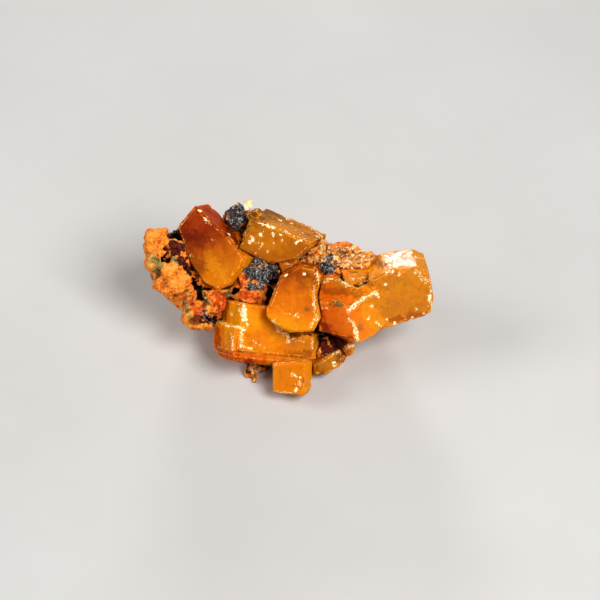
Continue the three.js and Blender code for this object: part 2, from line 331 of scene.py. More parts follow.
def shaped_crystal(node_name):
    shape = merged_copy(node_name)
    bmesh.ops.dissolve_limit(shape, angle_limit=FLAT_ANGLE, verts=shape.verts, edges=shape.edges)
    rims = tree_of(rim_points(shape))
    cut_small(shape, CRYSTAL_EDGE)
    distances = {v: rims.find(v.co)[2] / MM for v in shape.verts}
    worn = [v for v in shape.verts if distances[v] < WORN_RIM]
    every_axis = {"use_axis_x": True, "use_axis_y": True, "use_axis_z": True}
    bmesh.ops.smooth_vert(shape, verts=worn, factor=RIM_SMOOTHING, **every_axis)
    shape.normal_update()
    moves = {v: rim_wear(v.co / MM, distances[v]) * MM for v in shape.verts}
    for vert, move in moves.items():
        vert.co += vert.normal * move
        vert.co.z = max(vert.co.z, 0.0)
    mesh = bpy.data.meshes.new(node_name + "_grown")
    shape.to_mesh(mesh)
    shape.free()
    mesh.shade_smooth()
    rim = mesh.attributes.new("rim", "FLOAT", "POINT")
    rim.data.foreach_set("value", [rims.find(v.co)[2] / MM for v in mesh.vertices])
    piece = bpy.data.objects.new(node_name + "_grown", mesh)
    bpy.context.scene.collection.objects.link(piece)
    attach(piece, "root")
    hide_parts(node_name)
    print(node_name, "triangles:", len(mesh.polygons))
    return piece


CRYSTAL_NODES = [name for name in sorted(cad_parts) if name != "matrix"]
crystals = {name: shaped_crystal(name) for name in CRYSTAL_NODES}

# %% [markdown]
# ## Brushing marks onto a surface
# Frosted edges, stains and mineral patches lie at certain places on the show face. A brush stroke
# is a line on the face in millimetres, with a radius and a strength. Each point of the stroke is
# carried from the camera onto the piece by a ray, and the mesh points near it take the stroke's
# strength as an attribute, which the shader reads. The mark then belongs to the surface and
# looks right from every side. Noise lets the edge of a stroke stray, because nature has no ruler.

# %% A brush for surface marks
BRUSH_STEP = 0.2
BRUSH_WAVES = (1.4, 0.5)
BRUSH_STRAY = 0.75
BRUSH_CORE = 0.35


def stroke_places(points):
    places = [points[0]]
    for (x0, y0), (x1, y1) in zip(points, points[1:]):
        count = max(1, round(math.hypot(x1 - x0, y1 - y0) / BRUSH_STEP))
        steps = range(1, count + 1)
        places += [(x0 + (x1 - x0) * i / count, y0 + (y1 - y0) * i / count) for i in steps]
    return places


def surface_of(mesh):
    return BVHTree.FromPolygons([v.co for v in mesh.vertices], [p.vertices for p in mesh.polygons])


def seen_at(surface, right, up):
    toward = on_face(right, up) - camera.location
    return surface.ray_cast(camera.location, toward.normalized())[0]


def stray(place):
    return BRUSH_STRAY * sum(noise.noise(place / MM / wave) for wave in BRUSH_WAVES)


def brush(piece, mark, strokes, base=None):
    mesh = piece.data
    values = list(base) if base else [0.0] * len(mesh.vertices)
    surface = surface_of(mesh)
    points = tree_of([v.co for v in mesh.vertices])
    for line, radius, strength in strokes:
        for right, up in stroke_places(line):
            hit = seen_at(surface, right, up)
            if hit is None:
                continue
            for place, index, distance in points.find_range(hit, (1 + BRUSH_STRAY) * radius * MM):
                reach = distance / MM / radius + stray(place)
                values[index] = max(values[index], strength * (1 - fade(reach, BRUSH_CORE, 1.0)))
    layer = mesh.attributes.get(mark) or mesh.attributes.new(mark, "FLOAT", "POINT")
    layer.data.foreach_set("value", values)


# %% [markdown]
# ## Frost and glints on the crystals
# Knocked edges and tiny chips scatter light and look pale, which collectors call frosting; the pale
# flecks are also painted glints of light on those edges and chips. These are their strokes, as they
# lie on the show face. Lines of frost are drawn finer than they are noted, and single specks bolder,
# because a speck hardly larger than the mesh's triangles would fade out.

# %% Frost strokes
# Pale frost flecks, partly painted glints of light on edges and chips.
FROST_GLINT_STROKES = {
    "left_crystal": [
        ([(-14.9, 14.3)], 0.36, 0.9),
        ([(-14.1, 13.2), (-13.2, 12.3)], 0.5, 0.95),
        ([(-10.9, 12.7)], 0.35, 0.7),
        ([(-9.9, 10.4)], 0.3, 0.7),
        ([(-16.0, 15.2), (-18.2, 12.2)], 0.3, 0.4),
        ([(-16.2, 7.0)], 0.5, 0.45),
        ([(-12.9, 9.6), (-12.4, 9.5)], 0.3, 0.5),
    ],
    "upper_crystals": [
        ([(-5.4, 8.9), (-4.9, 9.3), (-4.4, 8.9), (-4.9, 8.2)], 0.4, 0.85),
        ([(-6.1, 9.7)], 0.4, 0.8),
        ([(-4.7, 10.4)], 0.4, 0.8),
        ([(-2.7, 10.7), (-2.6, 10.2)], 0.35, 0.85),
        ([(-2.5, 9.0)], 0.35, 0.8),
        ([(-3.5, 7.7)], 0.3, 0.7),
        ([(-0.5, 8.8)], 0.35, 0.75),
        ([(-1.1, 9.4)], 0.3, 0.7),
        ([(1.2, 9.0)], 0.3, 0.6),
        ([(-2.7, 11.5)], 0.3, 0.8),
        ([(-1.4, 10.3)], 0.3, 0.8),
        ([(-0.5, 11.0)], 0.25, 0.7),
        ([(0.9, 10.2)], 0.3, 0.8),
        ([(1.9, 9.5)], 0.3, 0.7),
        ([(-5.5, 7.4)], 0.3, 0.7),
        ([(-6.7, 9.2)], 0.3, 0.8),
        ([(-4.1, 10.9)], 0.3, 0.8),
        ([(-1.4, 12.8)], 0.35, 0.8),
        ([(-0.3, 13.0)], 0.4, 0.8),
        ([(0.5, 12.3)], 0.35, 0.8),
        ([(2.1, 12.6)], 0.4, 0.8),
        ([(3.4, 11.9)], 0.4, 0.8),
        ([(4.1, 11.4)], 0.35, 0.8),
        ([(2.3, 10.7)], 0.35, 0.8),
        ([(4.7, 10.1)], 0.4, 0.8),
        ([(-7.4, 10.9), (-7.8, 8.4)], 0.35, 0.7),
        ([(-5.2, 12.3), (-3.6, 11.9), (-2.6, 11.6)], 0.45, 0.9),
        ([(-1.7, 11.2), (1.0, 10.2), (3.0, 9.4)], 0.3, 0.6),
        ([(-0.4, 13.2), (1.0, 12.8)], 0.4, 0.8),
        ([(2.4, 12.0), (4.6, 11.0)], 0.4, 0.7),
        ([(4.6, 10.8), (5.4, 10.2)], 0.5, 0.7),
        ([(-7.3, 13.6), (-6.9, 12.5)], 0.5, 0.75),
        ([(-0.6, 5.6), (0.8, 4.9), (2.0, 5.6)], 0.3, 0.7),
    ],
    "front_crystals": [
        ([(-7.5, -0.8), (-7.25, -5.0)], 1.0, 1.0),
        ([(-7.6, -5.3)], 0.7, 1.0),
        ([(-7.9, -5.9), (-8.0, -8.3)], 0.7, 0.9),
        ([(-7.5, -8.3), (-6.2, -8.6)], 0.35, 0.9),
        ([(-11.5, -4.2), (-10.3, -4.8), (-7.9, -5.0)], 0.45, 0.95),
        ([(-9.6, -6.0), (-9.5, -7.2)], 0.35, 0.8),
        ([(-9.4, -7.7), (-9.3, -8.8)], 0.35, 0.8),
        ([(-10.5, -7.5), (-10.5, -8.0)], 0.35, 0.75),
        ([(-9.6, -2.2), (-9.5, -3.1)], 0.35, 0.8),
        ([(-9.0, -3.7)], 0.35, 0.75),
        ([(-8.3, -2.3)], 0.3, 0.75),
        ([(-0.4, -2.8), (1.9, -3.2)], 0.3, 0.75),
        ([(1.8, -3.0), (2.3, -3.5)], 0.4, 0.9),
        ([(4.1, -0.7), (4.7, -3.8)], 0.45, 0.8),
        ([(-2.6, -4.2), (-1.8, -5.5), (-0.3, -6.4), (-0.2, -7.5)], 0.6, 0.8),
        ([(-3.4, -1.0), (-1.8, 2.5)], 0.25, 0.75),
        ([(4.7, 4.2), (4.9, 2.4)], 0.5, 0.85),
        ([(4.2, 1.6), (4.3, -3.2), (3.6, -5.0)], 0.3, 0.7),
        ([(-4.3, -1.8), (-2.4, 3.6), (0.6, 5.6)], 0.25, 0.6),
        ([(2.6, 3.8)], 0.35, 0.8),
        ([(-0.6, 3.6)], 0.35, 0.7),
        ([(-2.6, -11.0), (2.7, -10.4)], 0.25, 0.7),
        ([(0.6, -12.9), (1.7, -13.5)], 0.6, 0.75),
        ([(1.1, -15.5), (1.6, -14.6), (1.8, -13.4)], 0.5, 0.95),
        ([(-2.5, -15.8), (0.5, -16.0)], 0.3, 0.85),
        ([(-2.8, -11.2), (-2.8, -15.6)], 0.2, 0.6),
        ([(3.9, -5.9), (3.9, -8.5)], 0.25, 0.8),
        ([(5.5, -9.2), (5.5, -11.2)], 0.35, 0.85),
        ([(6.1, -8.3), (6.1, -9.0)], 0.35, 0.9),
        ([(-5.9, -7.3), (-4.2, -8.4)], 0.3, 0.6),
        ([(0.8, -7.0), (2.4, -7.4)], 0.5, 0.6),
    ],
    "right_crystals": [
        ([(10.0, -2.2), (11.5, -0.9), (12.8, 0.0), (14.4, 0.7), (15.2, -0.3)], 0.55, 0.95),
        ([(9.9, -2.2), (10.1, -3.6), (10.8, -4.6), (11.2, -5.7), (11.5, -7.2)], 0.6, 0.9),
        ([(13.8, -1.5)], 0.4, 0.8),
        ([(13.3, -3.6)], 0.35, 0.8),
        ([(14.5, -4.2), (15.4, -4.8)], 0.45, 0.8),
        ([(16.3, -3.8)], 0.35, 0.85),
        ([(16.2, 4.1), (17.3, 4.2)], 0.4, 0.95),
        ([(18.4, 4.2), (18.4, 3.6)], 0.4, 0.9),
        ([(21.2, 4.3), (22.2, 3.6), (23.0, 2.6)], 0.8, 0.75),
        ([(23.4, 3.8), (23.7, 0.8)], 0.3, 0.75),
        ([(23.5, 0.2), (23.4, -1.3)], 0.5, 1.0),
        ([(23.8, -0.8), (23.8, -3.1)], 0.3, 0.85),
        ([(23.4, -3.1), (21.5, -3.7)], 0.3, 0.6),
        ([(16.9, -4.8), (19.0, -4.2)], 0.35, 0.75),
        ([(21.3, -2.1)], 0.4, 0.85),
        ([(17.6, -4.3)], 0.3, 0.8),
        ([(19.4, -3.7)], 0.3, 0.8),
        ([(20.6, -3.5)], 0.3, 0.7),
        ([(22.4, -2.7)], 0.3, 0.8),
        ([(15.9, 2.1)], 0.35, 0.75),
        ([(12.2, 2.3), (13.4, 3.0)], 0.45, 1.0),
        ([(6.2, 3.2), (7.6, 3.0), (8.8, 2.8), (9.7, 2.1), (11.2, 1.7), (12.2, 1.9)], 0.5, 0.9),
        ([(10.4, 3.0), (12.6, 3.2)], 0.4, 0.7),
        ([(17.5, 7.4), (22.6, 6.4)], 0.3, 0.6),
        ([(5.2, -2.0), (6.4, -1.8)], 0.5, 0.7),
        ([(5.4, 2.4), (6.6, 2.6)], 0.4, 0.6),
    ],
    "lower_crystal": [([(6.2, -9.9), (8.8, -8.8)], 0.4, 0.7), ([(7.4, -11.2)], 0.5, 0.5)],
    "corner_crystal": [([(9.2, -8.4), (10.9, -8.0)], 0.5, 0.9)],
    "top_chip": [([(-7.0, 15.8), (-6.8, 14.4)], 0.9, 0.9)],
}
LINE_WIDTH = 0.72
SPECK_WIDTH = 1.15
SPECK_STRENGTH = 1.35


def frost_glint_stroke(line, radius, strength):
    if len(line) == 1:
        return line, SPECK_WIDTH * radius, SPECK_STRENGTH * strength
    return line, LINE_WIDTH * radius, strength


drawn_frost_glints = {
    name: [frost_glint_stroke(*stroke) for stroke in strokes] for name, strokes in FROST_GLINT_STROKES.items()
}
print("frost strokes:", sum(len(strokes) for strokes in drawn_frost_glints.values()))

# %% [markdown]
# ## Ember shade, honey, and gold and blaze glow
# A thick crystal isn't one colour. Ember red is painted shade on the shaded sides and deep parts, and
# dusty parts are honey brown. Gold and blaze orange are painted glow, where light seems to pass
# through. These strokes are broad, like watercolour.

# %% Colour strokes
# Ember red: painted shade on the shaded sides and deep parts of the crystals.
EMBER_SHADE_STROKES = {
    "left_crystal": [
        ([(-18.0, 11.0), (-14.5, 9.0)], 2.0, 0.6),
        ([(-13.4, 14.4), (-10.0, 11.2)], 1.6, 0.5),
        ([(-10.2, 11.6), (-9.3, 10.0), (-8.6, 8.8)], 1.4, 1.0),
        ([(-9.4, 10.4), (-8.4, 8.6)], 1.2, 1.0),
        ([(-16.5, 8.0), (-14.5, 4.5)], 1.2, 0.5),
    ],
    "upper_crystals": [
        ([(-6.9, 12.2), (-7.0, 11.0)], 0.6, 0.5),
        ([(2.0, 10.8), (5.0, 9.6)], 0.9, 0.6),
        ([(-3.4, 13.0), (0.4, 12.3), (4.6, 10.8)], 1.5, 0.42),
    ],
    "front_crystals": [
        ([(0.0, 4.0), (3.0, 3.6)], 1.8, 0.35),
        ([(-12.0, -6.5), (-11.5, -9.3)], 1.2, 0.6),
        ([(-11.5, -9.5), (-3.0, -11.5)], 1.0, 0.4),
        ([(-7.0, -10.9), (-2.8, -11.7)], 0.9, 0.8),
        ([(-11.0, -1.5), (-10.8, -3.6)], 1.0, 0.5),
        ([(0.0, -6.2), (3.6, -6.0)], 0.6, 0.9),
        ([(-0.5, -9.5), (3.0, -9.6)], 0.9, 0.5),
    ],
    "right_crystals": [
        ([(5.0, -3.5), (6.0, -6.0), (8.5, -6.5)], 1.4, 0.75),
        ([(5.2, 1.5), (8.0, 0.8), (11.5, 0.6)], 1.2, 0.5),
        ([(14.8, 6.4), (15.6, 5.2)], 0.9, 0.7),
        ([(17.0, -3.9), (22.5, -3.0)], 1.0, 0.35),
    ],
    "lower_crystal": [([(8.0, -11.5), (9.0, -9.5)], 0.9, 0.6)],
    "corner_crystal": [([(9.6, -9.4)], 0.8, 0.5)],
    "top_chip": [([(-7.0, 16.2)], 0.5, 0.5)],
}
HONEY_STROKES = {
    "front_crystals": [
        ([(0.5, -7.6), (5.6, -8.6)], 1.6, 0.9),
        ([(2.5, 4.6), (5.0, 3.4)], 0.8, 0.6),
        ([(-2.0, -12.0), (2.0, -14.5)], 2.2, 0.3),
    ],
    "right_crystals": [
        ([(17.0, 2.5), (23.0, 2.0), (22.0, -2.0), (17.5, -2.0)], 3.0, 1.0),
        ([(6.0, 3.0), (8.6, 2.4), (15.5, 3.4)], 1.3, 0.9),
    ],
}
# Gold: painted glow of light through the crystals.
GLOW_GOLD_STROKES = {
    "left_crystal": [([(-12.8, 5.4), (-11.0, 4.2)], 1.5, 0.6), ([(-13.6, 7.4)], 1.0, 0.4)],
    "upper_crystals": [([(-5.0, 9.6), (-2.0, 8.4)], 1.5, 0.3)],
    "front_crystals": [
        ([(-6.4, -1.6), (-6.0, -4.5)], 1.3, 0.6),
        ([(-4.0, -4.5), (-1.5, -7.5)], 1.1, 0.5),
        ([(-5.5, -8.4), (-3.0, -8.6)], 1.0, 0.6),
        ([(-1.5, -3.6), (1.5, -4.4)], 1.3, 0.5),
        ([(3.2, 2.8), (3.8, 0.8)], 0.8, 0.5),
        ([(0.4, -12.8), (1.2, -13.4)], 0.9, 0.7),
    ],
    "right_crystals": [
        ([(13.0, -2.6), (13.6, -4.2)], 1.4, 0.9),
        ([(18.5, 1.5), (21.5, 0.0)], 1.6, 0.45),
        ([(20.5, 3.2), (22.0, 2.2)], 1.2, 0.5),
        ([(8.8, 2.6), (11.8, 2.4)], 0.9, 0.7),
    ],
}
# Blaze orange: painted glow of light through the crystals.
GLOW_BLAZE_STROKES = {
    "front_crystals": [
        ([(-10.5, -1.4), (-10.3, -3.8)], 1.2, 0.5),
        ([(-11.2, -5.5), (-11.0, -8.5)], 1.3, 0.6),
        ([(-12.2, -5.5), (-12.0, -9.0)], 1.1, 0.9),
        ([(-11.8, -9.4), (-7.0, -10.6), (-3.0, -11.4)], 1.3, 1.0),
        ([(-9.0, -9.6), (-4.0, -10.2)], 0.8, 0.7),
    ],
    "right_crystals": [
        ([(5.4, -4.4), (7.5, -6.2), (10.2, -7.2)], 1.1, 0.8),
        ([(17.0, -4.0), (22.8, -3.0)], 0.9, 0.45),
    ],
    "left_crystal": [([(-12.6, 13.4), (-10.4, 11.4)], 1.0, 0.4)],
}
print("crystals with ember, honey, gold and blaze strokes:")
print(*(len(table) for table in (EMBER_SHADE_STROKES, HONEY_STROKES, GLOW_GOLD_STROKES, GLOW_BLAZE_STROKES)))

# %% [markdown]
# ## Clay, a polished face, and the brushing
# A little olive clay stains two of the crystals, and one face of the right block is still polished
# and mirrors the light. Then every crystal gets every mark, so that one recipe can finish them all.
# Where a crystal has no stroke of a kind, that attribute stays zero.

# %% Brush the crystals
STAIN_STROKES = {
    "front_crystals": [([(3.0, -2.1)], 0.6, 0.8)],
    "right_crystals": [([(7.2, -0.9), (10.0, -1.3)], 0.7, 0.9), ([(11.8, -5.0)], 0.9, 0.45)],
}
POLISH_STROKES = {
    "right_crystals": [
        ([(17.2, 7.4), (20.8, 7.6)], 1.0, 1.0),
        ([(17.0, 6.5), (21.2, 6.9)], 1.6, 1.0),
        ([(18.0, 5.4), (21.8, 5.6)], 1.4, 1.0),
    ],
}
CRYSTAL_MARKS = {
    "frost_glint": drawn_frost_glints,
    "ember_shade": EMBER_SHADE_STROKES,
    "honey": HONEY_STROKES,
    "glow_gold": GLOW_GOLD_STROKES,
    "glow_blaze": GLOW_BLAZE_STROKES,
    "stain": STAIN_STROKES,
    "polish": POLISH_STROKES,
}
for name, piece in crystals.items():
    for mark, strokes in CRYSTAL_MARKS.items():
        brush(piece, mark, strokes.get(name, []))
print("brushed", len(crystals), "crystals")

# %% [markdown]
# ## Wulfenite, its colour
# The colour of each crystal follows a run of paint cards from one end to the other, clouded by
# noise. On the left, upper and front crystals the run goes from dark at the top to gold below, which
# paints shade on their tops and light on their lower parts. The brushed marks tint it, and fine noise
# mottles it. Rims are lit from inside, so they are a brighter orange here and there. Frost comes
# last:
# noise finer than a stroke breaks it up into pale flecks, partly painted glints, each with an amber
# halo.

# %% Crystal colours
# Ember is painted shade, gold and blaze are painted glow; honey and stain are the crystals' own
# colours.
MARK_COLOURS = {
    "honey": "C87812",
    "glow_gold": "E0900C",
    "glow_blaze": "D84E04",
    "ember_shade": "5A0E02",
    "stain": "6E5628",
}
# The pale fleck colour and its amber halo paint frost and the glints of light on it.
FROST_GLINT = "FFF2C4"
FROST_GLINT_HALO = "FFC040"
LIT_RIM = "FFA828"
CLOUD_SIZE = 4.0
CLOUD_SHARE = 0.7
PATCH_SIZE = 1.5
MOTTLE_SIZE = 0.8
MOTTLE = [(0.25, "C8B4A4"), (0.5, "FFFFFF"), (0.8, "FFFFFF")]
MOTTLE_SHARE = 0.65
LIT_RIM_SIZE = 1.1
LIT_RIM_REACH = (0.02, 0.18)
LIT_RIM_SHARE = 0.6
# Pale flecks along every rim: painted highlights.
RIM_GLINT_REACH = (0.05, 0.3)
RIM_GLINT_SHARE = 0.3
FLECK_SIZE = 0.28
FLECK_PUSH = 0.26
FLECK_LEVELS = (0.69, 0.74)
HALO_LEVELS = (0.6, 0.7)
HALO_SHARE = 0.7
# Left, upper and front runs: dark tops and gold lower parts, painted shade and painted light.
COLOUR_RUNS = {
    "left_crystal": ((-16.0, 14.0), (-11.5, 1.5), ["A43A04", "8E2803", "B04C04", "CC7006", "D87E08"]),
    "upper_crystals": ((-4.0, 14.0), (-1.0, 3.5), ["7A4408", "C27614", "BC6C10", "AE5E0C", "D86806"]),
    "front_crystals": (
        (0.5, 6.0),
        (-1.5, -12.0),
        ["8E3404", "BA5804", "DE7806", "EC9408", "DC7806", "D87A08"],
    ),
    "right_crystals": ((6.0, -4.0), (24.0, 2.0), ["E06A08", "E87408", "E08A0C", "D48010", "CC7C12"]),
    "lower_crystal": ((5.0, -12.0), (9.5, -9.0), ["A85C08", "BC7810", "964806"]),
    "corner_crystal": ((9.0, -9.0), (11.5, -8.0), ["B05008", "C87814", "D89830"]),
    "top_chip": ((-7.0, 16.5), (-7.0, 14.0), ["C87A28", "F0DCB0", "FFFAEC", "FFF4DC"]),
}


def evenly(cards):
    return [(i / (len(cards) - 1), card) for i, card in enumerate(cards)]


def colour_run(tree, place, start, end, cards):
    first, last = on_face(*start), on_face(*end)
    run = last - first
    along = tree.nodes.new("ShaderNodeVectorMath")
    along.operation = "DOT_PRODUCT"
    feed(along.inputs[0], place)
    along.inputs[1].default_value = run / run.length_squared
    zone = sums(tree, "SUBTRACT", along.outputs["Value"], first.dot(run) / run.length_squared)
    clouds = sums(tree, "SUBTRACT", grain(tree, place, CLOUD_SIZE, 4, 0.6, 0.8), 0.5)
    drift = sums(tree, "MULTIPLY", clouds, CLOUD_SHARE)
    return ramp(tree, sums(tree, "ADD", zone, drift), evenly(cards))


def tinted(tree, place, body):
    patchy = between(tree, grain(tree, place, PATCH_SIZE, 4, 0.6), 0.25, 0.6, 0.6, 1.0)
    for mark, card in MARK_COLOURS.items():
        body = mix(tree, sums(tree, "MULTIPLY", attribute(tree, mark), patchy), body, card)
    mottle = ramp(tree, grain(tree, place, MOTTLE_SIZE, 5, 0.65), MOTTLE)
    return mix(tree, MOTTLE_SHARE, body, mottle, "MULTIPLY")


def lit_rims(tree, place, body):
    lit = between(tree, attribute(tree, "rim"), *LIT_RIM_REACH, LIT_RIM_SHARE, 0.0)
    here = between(tree, grain(tree, place, LIT_RIM_SIZE, 3), 0.48, 0.62)
    return mix(tree, sums(tree, "MULTIPLY", lit, here), body, LIT_RIM)


# Paints pale flecks of frost and painted glints where the strokes and the rims are.
def frosted_with_glints(tree, place, body):
    rim = between(tree, attribute(tree, "rim"), *RIM_GLINT_REACH, RIM_GLINT_SHARE, 0.0)
    cover = sums(tree, "MAXIMUM", attribute(tree, "frost_glint"), rim)
    push = sums(tree, "MULTIPLY", cover, FLECK_PUSH)
    level = sums(tree, "ADD", grain(tree, place, FLECK_SIZE, 4, 0.75), push)
    marked = between(tree, cover, 0.05, 0.3)
    halo = sums(tree, "MULTIPLY", marked, between(tree, level, *HALO_LEVELS, 0.0, HALO_SHARE))
    flecks = sums(tree, "MULTIPLY", marked, between(tree, level, *FLECK_LEVELS))
    return mix(tree, flecks, mix(tree, halo, body, FROST_GLINT_HALO), FROST_GLINT), flecks


print("colour runs:", len(COLOUR_RUNS), "mark colours:", len(MARK_COLOURS))

# %% [markdown]
# ## Wulfenite, its light
# Wulfenite has a high refractive index, which gives a greasy shine, but most faces here are worn
# and only the polished one mirrors. A crystal is milky more than clear: light goes in, scatters and
# comes back out. So the shader gives a small share to plain transmission, with absorption that
# deepens the colour, and the rest to scattering under the surface. Flecks of frost don't scatter.

# %% Crystal finishes
WULFENITE_IOR = 2.3
POLISHED_SHINE = 0.015
WORN_SHINE = 0.004
POLISHED_CLEAR = 0.05
WORN_CLEAR = 0.03
MILKY_SHARE = 1.0
MILKY_DEPTH = 1.0
MILKY_RADIUS = (1.0, 0.4, 0.08)
ABSORBED = "FFC008"
ABSORPTION = 2000.0
GLOSS_SIZE = 1.6
GLOSS = (0.34, 0.5)
FROST_DULLS = 0.2
POLISH_SHARE = 0.14
CRACK_SIZE = 2.2
CRACK_WIDTH = (0.004, 0.016)
PITS = (0.5, 0.025)


def polish(tree, place):
    crack = sums(tree, "ABSOLUTE", sums(tree, "SUBTRACT", grain(tree, place, CRACK_SIZE, 2), 0.5))
    return sums(tree, "MULTIPLY", attribute(tree, "polish"), between(tree, crack, *CRACK_WIDTH))


def gloss(tree, place, flecks):
    soft = between(tree, grain(tree, place, GLOSS_SIZE, 4), 0.3, 0.7, *GLOSS)
    dull = sums(tree, "ADD", soft, sums(tree, "MULTIPLY", flecks, FROST_DULLS))
    mirror = between(tree, polish(tree, place), 0.25, 0.6, 1.0, POLISH_SHARE)
    return sums(tree, "MULTIPLY", dull, mirror)


def wulfenite(name, start, end, cards):
    material, tree, surface, place = start_finish("wulfenite_" + name)
    body = tinted(tree, place, colour_run(tree, place, start, end, cards))
    body, flecks = frosted_with_glints(tree, place, lit_rims(tree, place, body))
    feed(surface.inputs["Base Color"], body)
    feed(surface.inputs["Roughness"], gloss(tree, place, flecks))
    surface.inputs["IOR"].default_value = WULFENITE_IOR
    polished = name in POLISH_STROKES
    surface.inputs["Specular IOR Level"].default_value = POLISHED_SHINE if polished else WORN_SHINE
    surface.inputs["Transmission Weight"].default_value = POLISHED_CLEAR if polished else WORN_CLEAR
    feed(surface.inputs["Subsurface Weight"], between(tree, flecks, 0.0, 1.0, MILKY_SHARE, 0.0))
    surface.inputs["Subsurface Radius"].default_value = MILKY_RADIUS
    surface.inputs["Subsurface Scale"].default_value = MILKY_DEPTH * MM
    feed(surface.inputs["Normal"], relief(tree, grain(tree, place, PITS[0], 4, 0.6), PITS[1]))
    depth = tree.nodes.new("ShaderNodeVolumeAbsorption")
    depth.inputs["Color"].default_value = paint(ABSORBED)
    depth.inputs["Density"].default_value = ABSORPTION
    tree.links.new(depth.outputs["Volume"], tree.nodes["Material Output"].inputs["Volume"])
    return material


for name, run in COLOUR_RUNS.items():
    crystals[name].data.materials.append(wulfenite(name, *run))
print("crystal finishes:", len(COLOUR_RUNS))

# %% [markdown]
# ## Loose bits joined into one mesh
# Chips and grains come by the thousand, so they aren't modelled one by one. One small template is
# made by an operator, and each bit is that template turned, squashed and set in its place. All
# bits of a kind are joined in one mesh, and an attribute keeps a tone for each of them.

# %% A helper that joins bits
BIT_SQUASH = (0.55, 1.0)


def template_of(operator, **settings):
    shape = bmesh.new()
    operator(shape, **settings)
    shape.verts.index_update()
    corners = np.array([v.co[:] for v in shape.verts])
    faces = np.array([[v.index for v in f.verts] for f in shape.faces])
    shape.free()
    return corners, faces


def joined_bits(name, template, bits, dice):
    corners, faces = template
    points, marks = [], []
    for place, size, values in bits:
        squash = [size * dice.uniform(*BIT_SQUASH) * MM for _ in range(3)]
        turn = Euler([dice.uniform(0, math.tau) for _ in range(3)]).to_matrix()
        points.append(corners * squash @ np.array(turn).T + np.array(place))
        marks.append(values)
    shifts = np.arange(len(bits))[:, None, None] * len(corners)
    all_faces = (faces + shifts).reshape(-1, faces.shape[1])
    mesh = bpy.data.meshes.new(name)
    mesh.from_pydata(np.concatenate(points).tolist(), [], all_faces.tolist())
    for mark in marks[0]:
        layer = mesh.attributes.new(mark, "FLOAT", "POINT")
        layer.data.foreach_set("value", np.repeat([m[mark] for m in marks], len(corners)))
    piece = bpy.data.objects.new(name, mesh)
    bpy.context.scene.collection.objects.link(piece)
    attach(piece, "root")
    print(name, "bits:", len(bits), "faces:", len(mesh.polygons))
    return piece


# %% [markdown]
# ## Frost chips
# Close up, the frosting is made of splinters of crystal that still cling to the edges. They follow
# the frost strokes, and each is a small cube, squashed and half sunk in the face it sits on. The
# top of the upper block is broken, so it carries crumbs of its own brown-gold colour too, and
# crumbs fill the seams where the crystals on the right have grown into each other.

# %% Scatter the frost chips
CHIP_SEED = 7
CHIP_SIZE = (0.07, 0.17)
CHIP_SPREAD = 0.9
CHIP_TONES = (0.3, 1.0)
CRUMB_TONES = (0.0, 0.32)
CHIP_SHARE = 1.1
CRUMB_SHARE = 3.0
CRUMB_STROKES = {
    "upper_crystals": [
        ([(-4.4, 13.2), (-0.4, 12.2), (4.6, 10.4)], 0.9, 1.0),
        ([(-1.0, 13.0), (2.4, 12.0), (5.2, 10.6)], 0.6, 1.0),
        ([(0.6, 11.2), (4.2, 9.8)], 0.8, 1.0),
    ],
}
SEAM_TONES = (0.1, 0.7)
SEAM_SHARE = 2.5
SEAM_STROKES = {
    "front_crystals": [([(4.5, 3.4), (4.3, 0.8), (4.7, -1.4), (4.5, -3.6), (3.8, -5.2)], 0.4, 1.0)],
    "right_crystals": [
        ([(5.0, 2.6), (4.8, 0.8), (5.1, -1.4), (5.0, -3.6)], 0.4, 1.0),
        ([(8.0, 3.2), (9.4, 2.2), (11.2, 1.5), (12.8, 2.3)], 0.5, 1.0),
        ([(9.0, 3.6), (12.0, 3.4)], 0.5, 0.6),
    ],
}

dice = random.Random(CHIP_SEED)
chips = []


def add_chips(all_strokes, share, tones):
    for name, strokes in all_strokes.items():
        surface = surface_of(crystals[name].data)
        for line, radius, strength in strokes:
            steps = stroke_places(line)
            for _ in range(round(len(steps) * share * strength + 0.5)):
                right, up = dice.choice(steps)
                beside = [dice.uniform(-CHIP_SPREAD, CHIP_SPREAD) * radius for _ in range(2)]
                size = dice.uniform(*CHIP_SIZE)
                tone = dice.uniform(*tones)
                hit = seen_at(surface, right + beside[0], up + beside[1])
                if hit is not None:
                    chips.append((hit, size, {"tone": tone}))


add_chips(FROST_GLINT_STROKES, CHIP_SHARE, CHIP_TONES)
add_chips(CRUMB_STROKES, CRUMB_SHARE, CRUMB_TONES)
add_chips(SEAM_STROKES, SEAM_SHARE, SEAM_TONES)
frost_chips = joined_bits("frost_chips", template_of(bmesh.ops.create_cube, size=1.0), chips, dice)

# %% Chip finish
CHIP_CARDS = ["8E520E", "B87214", "F0A020", "FFD870", "FFF6D8", "FFFFFF"]
CHIP_ROUGHNESS = 0.3
CHIP_SPECKLE = 0.15

chip_finish, tree, surface, place = start_finish("frosted_splinters")
chip_speckle = between(tree, grain(tree, place, CHIP_SPECKLE), 0.3, 0.7, -0.1, 0.1)
chip_tone = sums(tree, "ADD", attribute(tree, "tone"), chip_speckle)
feed(surface.inputs["Base Color"], ramp(tree, chip_tone, evenly(CHIP_CARDS)))
surface.inputs["Roughness"].default_value = CHIP_ROUGHNESS
frost_chips.data.materials.append(chip_finish)
print("chip finish, from brown to white:", len(CHIP_CARDS), "cards")

# %% [markdown]
# ## The rock
# The matrix is a crumbly, iron-stained rock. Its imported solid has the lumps, pits and broken
# faces; the copy gets an even skin of small faces by a voxel remesh. Crevices are brushed on and
# sunk, and then the skin is pushed in and out by noise, coarse ridges first and grains last. The
# sides that face away are broken more deeply, as where a piece was split off. All of it swells a
# little, so it closes up to the crystals that grow out of it. Breaks, crags, ridges, knobs and
# grains are each given by a wavelength and a height in millimetres.

